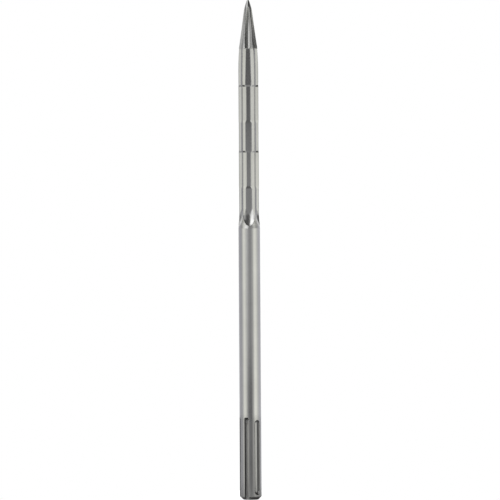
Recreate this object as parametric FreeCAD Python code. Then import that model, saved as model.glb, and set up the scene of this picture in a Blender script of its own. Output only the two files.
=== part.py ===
import FreeCAD, Part
import math
import os

# Bull point chisel: one forged and machined steel bar that stands on its struck end with its point
# up. Z runs along the tool. The origin is the centre of the struck end. The front flute faces -Y.
# All lengths are millimetres and all angles are degrees. Distances "from the tip" run down from the
# top of the tool, and heights run up from the struck end.

# Bar
total_length = 415.0
shank_diameter = 18.0
struck_end_chamfer = 2.6

# Point: a small flat tip, a rounded nose, a slender cone and a long arc into the fluted part
tip_diameter = 1.5
nose_length = 10.0
cone_length = 40.5
cone_base_diameter = 15.4
cone_half_angle = 7.9
point_length = 58.0

# Fluted part: five flutes between narrow lands. A flute has a flat floor, rounded corners and
# sloping walls, and it is either narrow and deep or wide and shallower.
flute_count = 5
land_diameter = 17.2
flute_wall_slope = 35.5
flute_corner_radius = 2.4
narrow_floor_width = 2.2
narrow_floor_radius = 4.95
wide_floor_width = 4.0
wide_floor_radius = 5.3

# Point grooves: one sharp V above each flute, sunk by a large wheel. It stops in a square shoulder
# at the base of the cone.
point_groove_wall_slope = 37.0
point_groove_wheel_radius = 140.0
point_groove_deepest_at = 13.0
point_groove_core_radius = 2.2

# Steps: each flute widens, runs wide, and narrows again in a steep step that faces the tip
first_step = 72.0
step_pitch = 54.6
wide_length = 26.5
widening_ramp = 1.7
step_ramp = 1.3

# Run-out: the last wide stretch rounds into a trough and rises along an arc to the full bar
flute_end = 187.6
runout_rounding_length = 4.0
runout_floor_share = 0.1
runout_arc_radius = 15.0
runout_shoulder_length = 7.0
runout_shoulder_setback = 2.0

# Shank: two closed locking grooves opposite each other and three open drive slots
shank_turn = 40.0
locking_groove_depth = 2.5
locking_groove_radius = 3.0
locking_groove_low_end = 4.1
locking_groove_high_end = 66.3
drive_slot_width = 3.7
drive_slot_depth = 3.0
drive_slot_corner_radius = 0.9
drive_slot_disc_radius = 7.0
drive_slot_length = 68.5
drive_slot_angle = 61.5

# How far the cutting tools reach past the steel
overcut = 3.0

shank_radius = shank_diameter / 2.0
land_radius = land_diameter / 2.0
tip_radius = tip_diameter / 2.0
tool_axis = FreeCAD.Vector(0, 0, 1)
origin = FreeCAD.Vector(0, 0, 0)


def from_tip(distance):
    """Height above the struck end of a place that is this far below the tip."""
    return total_length - distance


def at_front(x, radius, height):
    """A point on the front of the tool: x across, radius out from the axis along -Y."""
    return FreeCAD.Vector(x, -radius, height)


def closed_face(edges):
    return Part.Face(Part.Wire(edges))


def polygon_face(points):
    return Part.Face(Part.makePolygon(points + points[:1]))


def turned(shape, angle):
    """A copy of the shape, turned about the tool's axis from the front towards +X."""
    copy = shape.copy()
    copy.rotate(origin, tool_axis, angle)
    return copy


def arc_from_tangent(start, direction, end):
    """The arc that leaves start along direction and stops at end, both in the XZ plane."""
    chord = end - start
    unit = FreeCAD.Vector(direction).normalize()
    normal = FreeCAD.Vector(-unit.z, 0, unit.x)
    radius = chord.dot(chord) / (2.0 * chord.dot(normal))
    centre = start + normal * radius
    middle_direction = (start + end) * 0.5 - centre
    middle = centre + middle_direction.normalize() * abs(radius)
    return Part.Arc(start, middle, end).toShape()


def turned_bar():
    """The bar before flutes and slots: chamfered end, shank, fluted part, cone, nose and flat tip."""
    slope = math.tan(math.radians(cone_half_angle))
    cone_base_radius = cone_base_diameter / 2.0
    nose_radius = cone_base_radius - (cone_length - nose_length) * slope

    end_centre = origin
    end_rim = FreeCAD.Vector(shank_radius - struck_end_chamfer, 0, 0)
    chamfer_rim = FreeCAD.Vector(shank_radius, 0, struck_end_chamfer)
    shank_top = FreeCAD.Vector(shank_radius, 0, from_tip(flute_end + runout_shoulder_setback))
    land_bottom = FreeCAD.Vector(land_radius, 0, shank_top.z + runout_shoulder_length)
    land_top = FreeCAD.Vector(land_radius, 0, from_tip(point_length))
    cone_base = FreeCAD.Vector(cone_base_radius, 0, from_tip(cone_length))
    cone_end = FreeCAD.Vector(nose_radius, 0, from_tip(nose_length))
    tip_rim = FreeCAD.Vector(tip_radius, 0, total_length)
    tip_centre = FreeCAD.Vector(0, 0, total_length)

    up = FreeCAD.Vector(0, 0, 1)
    along_cone = cone_end - cone_base
    edges = [
        Part.makeLine(end_centre, end_rim),
        Part.makeLine(end_rim, chamfer_rim),
        Part.makeLine(chamfer_rim, shank_top),
        Part.makeLine(shank_top, land_bottom),
        Part.makeLine(land_bottom, land_top),
        arc_from_tangent(land_top, up, cone_base),
        Part.makeLine(cone_base, cone_end),
        arc_from_tangent(cone_end, along_cone, tip_rim),
        Part.makeLine(tip_rim, tip_centre),
        Part.makeLine(tip_centre, end_centre),
    ]
    return closed_face(edges).revolve(origin, tool_axis, 360)


def flute_section(height, wide_share, outer_radius, floor_share=1.0):
    """The flute's outline across the tool: 0 is the narrow one and 1 the wide one.

    The walls stay where they are when the floor keeps only a share of its width: its corners grow.
    """
    slope = math.radians(flute_wall_slope)
    full_half = (narrow_floor_width + wide_share * (wide_floor_width - narrow_floor_width)) / 2.0
    floor_half = floor_share * full_half
    corner_radius = flute_corner_radius + (full_half - floor_half) / math.tan(slope / 2.0)
    floor_radius = narrow_floor_radius + wide_share * (wide_floor_radius - narrow_floor_radius)
    foot_x = floor_half + corner_radius * math.sin(slope)
    foot_radius = floor_radius + corner_radius * (1.0 - math.cos(slope))
    bend_x = floor_half + corner_radius * math.sin(slope / 2.0)
    bend_radius = floor_radius + corner_radius * (1.0 - math.cos(slope / 2.0))
    rim_x = foot_x + (outer_radius - foot_radius) / math.tan(slope)
    return trough_wire(height, [
        (rim_x, outer_radius),
        (foot_x, foot_radius),
        (bend_x, bend_radius),
        (floor_half, floor_radius),
    ])


def trough_wire(height, half):
    """An outline across the tool from its right half: rim, wall foot, corner bend and floor edge."""
    right = [at_front(x, radius, height) for x, radius in half]
    left = [at_front(-x, radius, height) for x, radius in half]
    return Part.Wire([
        Part.makeLine(left[0], left[1]),
        Part.Arc(left[1], left[2], left[3]).toShape(),
        Part.makeLine(left[3], right[3]),
        Part.Arc(right[3], right[2], right[1]).toShape(),
        Part.makeLine(right[1], right[0]),
        Part.makeLine(right[0], left[0]),
    ])


def runout_start():
    """Distance from the tip at which the floor begins to rise to the bar's surface."""
    rise = shank_radius - wide_floor_radius
    return flute_end - math.sqrt(runout_arc_radius ** 2 - (runout_arc_radius - rise) ** 2)


def flute_cutters():
    """One flute: wide and narrow stretches with ramps and steps between them, then its run-out.

    A station is a distance from the tip, how wide the flute is there, and its floor's share.
    """
    second_step = first_step + step_pitch
    second_widening = second_step - wide_length
    last_widening = second_widening + step_pitch
    outer_radius = shank_radius + overcut
    stations = [
        (cone_length, 0, 1),
        (first_step - step_ramp, 1, 1),
        (first_step, 0, 1),
        (second_widening, 0, 1),
        (second_widening + widening_ramp, 1, 1),
        (second_step - step_ramp, 1, 1),
        (second_step, 0, 1),
        (last_widening, 0, 1),
        (last_widening + widening_ramp, 1, 1),
        (runout_start() - runout_rounding_length, 1, 1),
        (runout_start(), 1, runout_floor_share),
    ]
    sections = [
        flute_section(from_tip(place), wide_share, outer_radius, floor_share)
        for place, wide_share, floor_share in stations
    ]
    stretches = [Part.makeLoft(list(pair), True, True) for pair in zip(sections[:-1], sections[1:])]

    swing_centre = at_front(0, wide_floor_radius + runout_arc_radius, from_tip(runout_start()))
    runout = Part.Face(sections[-1]).revolve(swing_centre, FreeCAD.Vector(1, 0, 0), -90)
    return stretches + [runout]


def point_groove_cutter():
    """The V groove of the point: the rim of a large wheel, stopped by the groove's shoulder."""
    slope = math.tan(math.radians(point_groove_wall_slope))
    height = from_tip(point_groove_deepest_at)
    reach = land_radius + overcut - point_groove_core_radius
    half_width = reach / slope
    apex = at_front(0, point_groove_core_radius, height)
    right = at_front(half_width, point_groove_core_radius + reach, height)
    left = at_front(-half_width, point_groove_core_radius + reach, height)
    section = polygon_face([apex, right, left])
    wheel_centre = at_front(0, point_groove_core_radius + point_groove_wheel_radius, height)
    half_turn = math.degrees(math.asin((cone_length + overcut) / point_groove_wheel_radius))
    section.rotate(wheel_centre, FreeCAD.Vector(1, 0, 0), -half_turn)
    wheel = section.revolve(wheel_centre, FreeCAD.Vector(1, 0, 0), 2 * half_turn)
    span = 4 * shank_diameter
    above_shoulder = Part.makeBox(
        span, span, total_length, FreeCAD.Vector(-span / 2, -span, from_tip(cone_length))
    )
    return wheel.common(above_shoulder)


def locking_groove_cutter():
    """A closed groove of round section with ball ends, in which the chuck's rollers lock."""
    axis_radius = shank_radius - locking_groove_depth + locking_groove_radius
    inset = math.sqrt(locking_groove_radius ** 2 - (axis_radius - shank_radius) ** 2)
    low = at_front(0, axis_radius, locking_groove_low_end + inset)
    high = at_front(0, axis_radius, locking_groove_high_end - inset)
    rod = Part.makeCylinder(locking_groove_radius, high.z - low.z, low, tool_axis)
    balls = [Part.makeSphere(locking_groove_radius, centre) for centre in (low, high)]
    return rod.fuse(balls)


def drive_slot_cutter():
    """A slot with parallel walls, a flat floor and round corners, open at the struck end.

    At its top the milling disc leaves an arc from the floor up to the bar's surface.
    """
    floor_radius = shank_radius - drive_slot_depth
    half_width = drive_slot_width / 2.0
    corner = drive_slot_corner_radius
    lift = drive_slot_disc_radius - drive_slot_depth
    straight_top = drive_slot_length - math.sqrt(drive_slot_disc_radius ** 2 - lift ** 2)
    section = Part.Face(trough_wire(straight_top, [
        (half_width, shank_radius + overcut),
        (half_width, floor_radius + corner),
        (half_width - corner * (1.0 - math.sqrt(0.5)), floor_radius + corner * (1.0 - math.sqrt(0.5))),
        (half_width - corner, floor_radius),
    ]))
    channel = section.extrude(FreeCAD.Vector(0, 0, -straight_top - overcut))
    disc_centre = at_front(0, floor_radius + drive_slot_disc_radius, straight_top)
    runout = section.revolve(disc_centre, FreeCAD.Vector(1, 0, 0), 90)
    return channel.fuse(runout)


def bull_point_chisel():
    flute_tools = [point_groove_cutter()] + flute_cutters()
    flute_angles = [index * 360.0 / flute_count for index in range(flute_count)]
    locking_angles = [shank_turn, shank_turn + 180]
    slot_angles = [shank_turn - drive_slot_angle, shank_turn + drive_slot_angle - 180, shank_turn + 90]

    solid = turned_bar()
    for tool in flute_tools:
        solid = solid.cut([turned(tool, angle) for angle in flute_angles])
    solid = solid.cut([turned(locking_groove_cutter(), angle) for angle in locking_angles])
    solid = solid.cut([turned(drive_slot_cutter(), angle) for angle in slot_angles])
    return solid.removeSplitter()


os.makedirs("parts", exist_ok=True)
chisel = bull_point_chisel()
print("solids", len(chisel.Solids), "valid", chisel.isValid(), "volume", round(chisel.Volume, 1))
print("centre of mass height", round(chisel.Solids[0].CenterOfMass.z, 1))
chisel.Solids[0].exportStep("parts/bull_point_chisel.step")
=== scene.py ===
"""Bull point chisel: one forged steel bar that stands on its struck end with its point up.

Lengths are metres. Z runs up the tool, -Y is its front and the camera's side, +X is to the right.
"""

import math

import bpy
import numpy as np
from mathutils import Matrix, Vector

# Heights on the tool between which its roughness, its painted shade and its darkening towards the tip
# change
SLOTS_TO_BAR = (0.066, 0.072)
DULL_SHANK_TO_BAR = (0.062, 0.074)
FLUTES_TO_POINT = (0.374, 0.375)
POINT_TO_TIP = (0.386, 0.402)

# The radius at which the colour ramps that go by distance from the axis end
RAMP_REACH = 0.01

# Heights of a direction, as its Z, between which the studio's bands of light meet
UNDER_TO_RING = (-0.6, -0.35)
RING_TO_DIM_BAND = (0.03, 0.13)
DIM_BAND_TO_HIGH_BOX = (0.42, 0.56)

# The Y of a direction over which the steel mirrors the white backdrop behind the tool
BACKDROP_STARTS = 0.94

FLOOR_RADIUS = 0.09
FLOOR_HEIGHT = -0.00005
FLOOR_LIFT_TO_CAMERA = 0.85
FLOOR_LIFT_IN_STEEL = 0.05


def mesh_from_grid(name, points, closed_u=False):
    """A quad mesh over a grid of points of shape (rows, columns, 3), row by row."""
    rows, columns, _ = points.shape
    index = np.arange(rows * columns).reshape(rows, columns)
    if closed_u:
        index = np.concatenate([index, index[:, :1]], axis=1)
    quads = np.stack([index[:-1, :-1], index[:-1, 1:], index[1:, 1:], index[1:, :-1]], axis=-1)
    mesh = bpy.data.meshes.new(name)
    mesh.from_pydata(points.reshape(-1, 3), [], quads.reshape(-1, 4))
    mesh.update()
    return mesh


def floor_surface(radius, height):
    """A flat round floor: rings of the given radius times t, for t from 0.001 to 1, at one height."""
    t = np.linspace(0.001, 1.0, 12)[:, None]
    turn = np.linspace(0.0, 2.0 * math.pi, 97)[None, :-1]
    x = radius * t * np.cos(turn)
    y = radius * t * np.sin(turn)
    z = np.full_like(x, height)
    return np.stack([x, y, z], axis=-1)


def link(tree, source, target):
    tree.links.new(source, target)


def math_node(tree, operation, first, second=None, third=None):
    """One Math node on sockets or plain numbers, and its output."""
    node = tree.nodes.new("ShaderNodeMath")
    node.operation = operation
    for slot, value in enumerate((first, second, third)):
        if value is None:
            continue
        if isinstance(value, (int, float)):
            node.inputs[slot].default_value = value
        else:
            link(tree, value, node.inputs[slot])
    return node.outputs[0]


def ramp_node(tree, factor, stops, interpolation="EASE"):
    """A colour ramp through (place, colour) stops, and its colour output."""
    node = tree.nodes.new("ShaderNodeValToRGB")
    ramp = node.color_ramp
    ramp.interpolation = interpolation
    while len(ramp.elements) < len(stops):
        ramp.elements.new(0.5)
    for element, (place, colour) in zip(ramp.elements, stops):
        element.position = place
        element.color = (*colour, 1.0)
    link(tree, factor, node.inputs["Fac"])
    return node.outputs["Color"]


def grey(level, warmth=0.0):
    return (level * (1.0 + 0.3 * warmth), level * (1.0 + 0.3 * warmth), level * (1.0 - warmth))


def by_height(tree, z, low, high, below, above):
    """Below the low value of z the first colour, above the high one the second, eased between."""
    rise = tree.nodes.new("ShaderNodeMapRange")
    rise.interpolation_type = "SMOOTHSTEP"
    rise.inputs["From Min"].default_value = low
    rise.inputs["From Max"].default_value = high
    link(tree, z, rise.inputs["Value"])
    mix = tree.nodes.new("ShaderNodeMix")
    mix.data_type = "RGBA"
    link(tree, rise.outputs[0], mix.inputs["Factor"])
    link(tree, below, mix.inputs[6])
    link(tree, above, mix.inputs[7])
    return mix.outputs[2]


def studio_world():
    """A plain studio around the tool: a level ring of light, a dim band over it and a high soft box.

    In each of the three the level follows the direction's turn about Z, counted from the front. The
    camera sees white instead, and so does the steel right behind the tool.
    """
    world = bpy.data.worlds.new("studio")
    world.use_nodes = True
    tree = world.node_tree
    tree.nodes.clear()
    direction = tree.nodes.new("ShaderNodeTexCoord").outputs["Generated"]
    axes = tree.nodes.new("ShaderNodeSeparateXYZ")
    link(tree, direction, axes.inputs[0])
    x, y, z = axes.outputs
    forward = math_node(tree, "MULTIPLY", y, -1.0)
    turn = math_node(tree, "ARCTAN2", x, forward)
    place = math_node(tree, "MULTIPLY_ADD", turn, 0.5 / math.pi, 0.5)

    def around(stops):
        return ramp_node(tree, place, [(0.5 + angle / 360.0, colour) for angle, colour in stops])

    level_ring = around([
        (-180, grey(0.9)),
        (-150, grey(0.54, -0.05)),
        (-97, grey(0.46, -0.05)),
        (-60, grey(1.02, 0.06)),
        (-44, grey(0.78, 0.05)),
        (-28, grey(0.33)),
        (-10, grey(0.17, -0.03)),
        (14, grey(0.14, -0.03)),
        (26, grey(0.34)),
        (40, grey(0.85, 0.04)),
        (54, grey(1.06, 0.06)),
        (66, grey(1.04, 0.06)),
        (96, grey(0.66)),
        (116, grey(0.58, -0.05)),
        (150, grey(0.6, -0.05)),
        (180, grey(0.9)),
    ])
    dim_band = around([
        (-180, grey(0.9)),
        (-130, grey(0.85)),
        (-100, grey(0.3)),
        (-78, grey(0.3)),
        (-66, grey(0.75)),
        (-35, grey(1.5)),
        (-20, grey(1.3)),
        (-2, grey(0.14)),
        (28, grey(0.1)),
        (42, grey(0.35)),
        (60, grey(0.5)),
        (72, grey(0.06)),
        (88, grey(0.06)),
        (105, grey(0.2)),
        (130, grey(0.8)),
        (180, grey(0.9)),
    ])
    high_box = around([
        (-180, grey(0.8)),
        (-110, grey(0.9)),
        (-80, grey(1.6)),
        (-22, grey(1.6)),
        (-5, grey(0.1)),
        (100, grey(0.1)),
        (140, grey(0.6)),
        (180, grey(0.8)),
    ])
    under = tree.nodes.new("ShaderNodeRGB")
    under.outputs[0].default_value = (*grey(0.5), 1.0)
    upper_half = by_height(tree, z, *DIM_BAND_TO_HIGH_BOX, dim_band, high_box)
    level_up = by_height(tree, z, *RING_TO_DIM_BAND, level_ring, upper_half)
    whole = by_height(tree, z, *UNDER_TO_RING, under.outputs[0], level_up)

    path = tree.nodes.new("ShaderNodeLightPath")
    glossy, transmission = path.outputs["Is Glossy Ray"], path.outputs["Is Transmission Ray"]
    mirrored = math_node(tree, "MAXIMUM", glossy, transmission)
    behind = math_node(tree, "GREATER_THAN", y, BACKDROP_STARTS)
    seen_in_steel = math_node(tree, "MULTIPLY", mirrored, behind)
    studio = tree.nodes.new("ShaderNodeBackground")
    link(tree, whole, studio.inputs["Color"])
    backdrop = tree.nodes.new("ShaderNodeBackground")
    backdrop.inputs["Color"].default_value = (1.0, 1.0, 1.0, 1.0)
    shown = tree.nodes.new("ShaderNodeMixShader")
    white = math_node(tree, "MAXIMUM", path.outputs["Is Camera Ray"], seen_in_steel)
    link(tree, white, shown.inputs["Fac"])
    link(tree, studio.outputs[0], shown.inputs[1])
    link(tree, backdrop.outputs[0], shown.inputs[2])
    output = tree.nodes.new("ShaderNodeOutputWorld")
    link(tree, shown.outputs[0], output.inputs["Surface"])
    bpy.context.scene.world = world


def soft_box(name, angle, height, distance, size, level):
    """A rectangular lamp that looks level at a point on the tool's axis: the level is its brightness."""
    data = bpy.data.lights.new(name, "AREA")
    data.shape = "RECTANGLE"
    data.size, data.size_y = size
    data.energy = level * math.pi * size[0] * size[1]
    lamp = bpy.data.objects.new(name, data)
    bpy.context.scene.collection.objects.link(lamp)
    turn = math.radians(angle)
    out = Vector((math.sin(turn), -math.cos(turn), 0.0))
    facing = out.to_track_quat("Z", "Y").to_matrix().to_4x4()
    target = Vector((0.0, 0.0, height))
    lamp.matrix_world = Matrix.Translation(target + out * distance) @ facing
    lamp.visible_camera = False
    return lamp


def floor_material():
    """A matt floor, lifted to white for the camera and a little in the steel, that takes the shadow."""
    material = bpy.data.materials.new("pale_floor")
    material.use_nodes = True
    tree = material.node_tree
    tree.nodes.clear()
    paint = tree.nodes.new("ShaderNodeBsdfDiffuse")
    paint.inputs["Color"].default_value = (0.42, 0.42, 0.42, 1.0)
    path = tree.nodes.new("ShaderNodeLightPath")
    seen = math_node(tree, "MAXIMUM", path.outputs["Is Camera Ray"], path.outputs["Is Transmission Ray"])
    in_steel = math_node(tree, "MULTIPLY", path.outputs["Is Glossy Ray"], FLOOR_LIFT_IN_STEEL)
    strength = math_node(tree, "MULTIPLY_ADD", seen, FLOOR_LIFT_TO_CAMERA, in_steel)
    lift = tree.nodes.new("ShaderNodeEmission")
    link(tree, strength, lift.inputs["Strength"])
    both = tree.nodes.new("ShaderNodeAddShader")
    link(tree, paint.outputs[0], both.inputs[0])
    link(tree, lift.outputs[0], both.inputs[1])
    output = tree.nodes.new("ShaderNodeOutputMaterial")
    link(tree, both.outputs[0], output.inputs["Surface"])
    return material


def distance_from_axis(tree, place):
    """The radius in metres at which a point of the steel lies."""
    across = tree.nodes.new("ShaderNodeVectorMath")
    across.operation = "MULTIPLY"
    across.inputs[1].default_value = (1.0, 1.0, 0.0)
    link(tree, place, across.inputs[0])
    radius = tree.nodes.new("ShaderNodeVectorMath")
    radius.operation = "LENGTH"
    link(tree, across.outputs[0], radius.inputs[0])
    return radius.outputs["Value"]


def eased(tree, value, low, high, at_low, at_high):
    """A value that eases from at_low to at_high while another goes from low to high."""
    fade = tree.nodes.new("ShaderNodeMapRange")
    fade.interpolation_type = "SMOOTHSTEP"
    fade.inputs["From Min"].default_value = low
    fade.inputs["From Max"].default_value = high
    fade.inputs["To Min"].default_value = at_low
    fade.inputs["To Max"].default_value = at_high
    link(tree, value, fade.inputs["Value"])
    return fade.outputs[0]


def recess_shade(tree, radius, height):
    """How much of its brightness the steel keeps.

    The bar keeps all, and so does the point apart from its tip, which gets darker towards its end.
    In the fluted part the floors and the narrow lands are darkened with painted shade, and in the
    shank the slots and grooves are too, most at their walls and less at their floors.
    """
    share_of_reach = math_node(tree, "MULTIPLY", radius, 1.0 / RAMP_REACH)

    def kept(stops):
        return ramp_node(tree, share_of_reach, [(place, grey(share)) for place, share in stops])

    def chosen(where, no, yes):
        choice = tree.nodes.new("ShaderNodeMix")
        link(tree, where, choice.inputs[0])
        link(tree, no, choice.inputs[2])
        link(tree, yes, choice.inputs[3])
        return choice.outputs[0]

    # Painted shade: the floors of the flutes and the narrow lands beside them are darkened by their
    # distance from the axis
    flute_painted_shade = kept([(0.48, 0.76), (0.66, 1.0), (0.795, 1.0), (0.835, 0.7), (0.86, 0.7), (0.875, 1.0)])
    # Painted shade: the walls of the shank's slots and grooves are darkened most, their floors and the
    # bar around them less
    slot_painted_shade = kept([(0.61, 0.55), (0.655, 0.85), (0.73, 0.42), (0.865, 0.42), (0.893, 0.85)])
    on_shank = eased(tree, height, *SLOTS_TO_BAR, 1.0, 0.0)
    on_point = eased(tree, height, *FLUTES_TO_POINT, 0.0, 1.0)
    on_tool = chosen(on_shank, flute_painted_shade, slot_painted_shade)
    below_tip = math_node(tree, "MAXIMUM", on_tool, on_point)
    # Darker towards the tip
    at_tip = eased(tree, height, *POINT_TO_TIP, 1.0, 0.65)
    return math_node(tree, "MULTIPLY", below_tip, at_tip)


def forged_steel_material():
    """Satin bright steel with fine marks around the bar from turning, and lightly broken edges."""
    material = bpy.data.materials.new("forged_steel")
    material.use_nodes = True
    tree = material.node_tree
    steel = tree.nodes["Principled BSDF"]
    steel.inputs["Metallic"].default_value = 1.0

    place = tree.nodes.new("ShaderNodeTexCoord").outputs["Object"]
    radius = distance_from_axis(tree, place)
    axes = tree.nodes.new("ShaderNodeSeparateXYZ")
    link(tree, place, axes.inputs[0])
    height = axes.outputs["Z"]

    rings = tree.nodes.new("ShaderNodeMapping")
    rings.inputs["Scale"].default_value = (60.0, 60.0, 2600.0)
    link(tree, place, rings.inputs["Vector"])
    marks = tree.nodes.new("ShaderNodeTexNoise")
    marks.inputs["Scale"].default_value = 1.0
    marks.inputs["Detail"].default_value = 3.0
    link(tree, rings.outputs[0], marks.inputs["Vector"])
    cloud = tree.nodes.new("ShaderNodeTexNoise")
    cloud.inputs["Scale"].default_value = 45.0
    cloud.inputs["Detail"].default_value = 4.0
    link(tree, place, cloud.inputs["Vector"])

    colour = ramp_node(tree, cloud.outputs["Fac"], [
        (0.3, (0.60, 0.60, 0.59)),
        (0.7, (0.66, 0.66, 0.65)),
    ], "LINEAR")
    # Painted shade: the base colour is darkened in the flutes, the slots and the grooves, and it gets
    # darker towards the tip
    shaded = tree.nodes.new("ShaderNodeVectorMath")
    shaded.operation = "SCALE"
    link(tree, colour, shaded.inputs[0])
    link(tree, recess_shade(tree, radius, height), shaded.inputs["Scale"])
    link(tree, shaded.outputs[0], steel.inputs["Base Color"])
    dull_shank = eased(tree, height, *DULL_SHANK_TO_BAR, 0.27, 0.17)
    roughness = math_node(tree, "MULTIPLY_ADD", marks.outputs["Fac"], 0.06, dull_shank)
    link(tree, roughness, steel.inputs["Roughness"])
    rounded = tree.nodes.new("ShaderNodeBevel")
    rounded.samples = 8
    rounded.inputs["Radius"].default_value = 0.0004
    bump = tree.nodes.new("ShaderNodeBump")
    bump.inputs["Strength"].default_value = 0.1
    bump.inputs["Distance"].default_value = 0.00003
    link(tree, marks.outputs["Fac"], bump.inputs["Height"])
    link(tree, rounded.outputs[0], bump.inputs["Normal"])
    link(tree, bump.outputs[0], steel.inputs["Normal"])
    return material


def camera_in_front(elevation, distance, frame_height, centre, roll):
    """A long lens on the tool's front: the frame's height is given in metres at the tool."""
    data = bpy.data.cameras.new("camera")
    data.sensor_fit = "HORIZONTAL"
    data.sensor_width = 36.0
    data.lens = data.sensor_width * distance / frame_height
    data.clip_start = 0.1
    data.clip_end = 50.0
    camera = bpy.data.objects.new("camera", data)
    bpy.context.scene.collection.objects.link(camera)
    tilt = math.radians(elevation)
    back = Vector((0.0, -math.cos(tilt), math.sin(tilt)))
    camera.rotation_mode = "QUATERNION"
    facing = (-back).to_track_quat("-Z", "Y").to_matrix().to_4x4()
    placed = Matrix.Translation(centre + back * distance)
    camera.matrix_world = placed @ facing @ Matrix.Rotation(roll, 4, "Z")
    bpy.context.scene.camera = camera


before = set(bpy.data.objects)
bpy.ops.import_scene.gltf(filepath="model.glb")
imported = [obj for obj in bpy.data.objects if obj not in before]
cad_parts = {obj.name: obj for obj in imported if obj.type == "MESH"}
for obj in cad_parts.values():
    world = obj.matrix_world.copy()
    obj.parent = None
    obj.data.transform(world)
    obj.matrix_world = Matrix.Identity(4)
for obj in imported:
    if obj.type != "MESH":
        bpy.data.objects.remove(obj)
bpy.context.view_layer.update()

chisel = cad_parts["bull_point_chisel"]
steel = forged_steel_material()
for material_slot in chisel.material_slots:
    material_slot.material = steel

floor_rings = floor_surface(FLOOR_RADIUS, FLOOR_HEIGHT)
floor = bpy.data.objects.new("floor", mesh_from_grid("floor", floor_rings, True))
floor.data.materials.append(floor_material())
bpy.context.scene.collection.objects.link(floor)

studio_world()
soft_box("front_box", angle=-3, height=0.20, distance=0.5, size=(0.6, 0.22), level=0.2)
camera_in_front(
    elevation=1.0,
    distance=3.0,
    frame_height=0.4155,
    centre=Vector((0.00054, 0.0, 0.2074)),
    roll=math.radians(-0.344),
)
bpy.context.scene.view_settings.view_transform = "Standard"
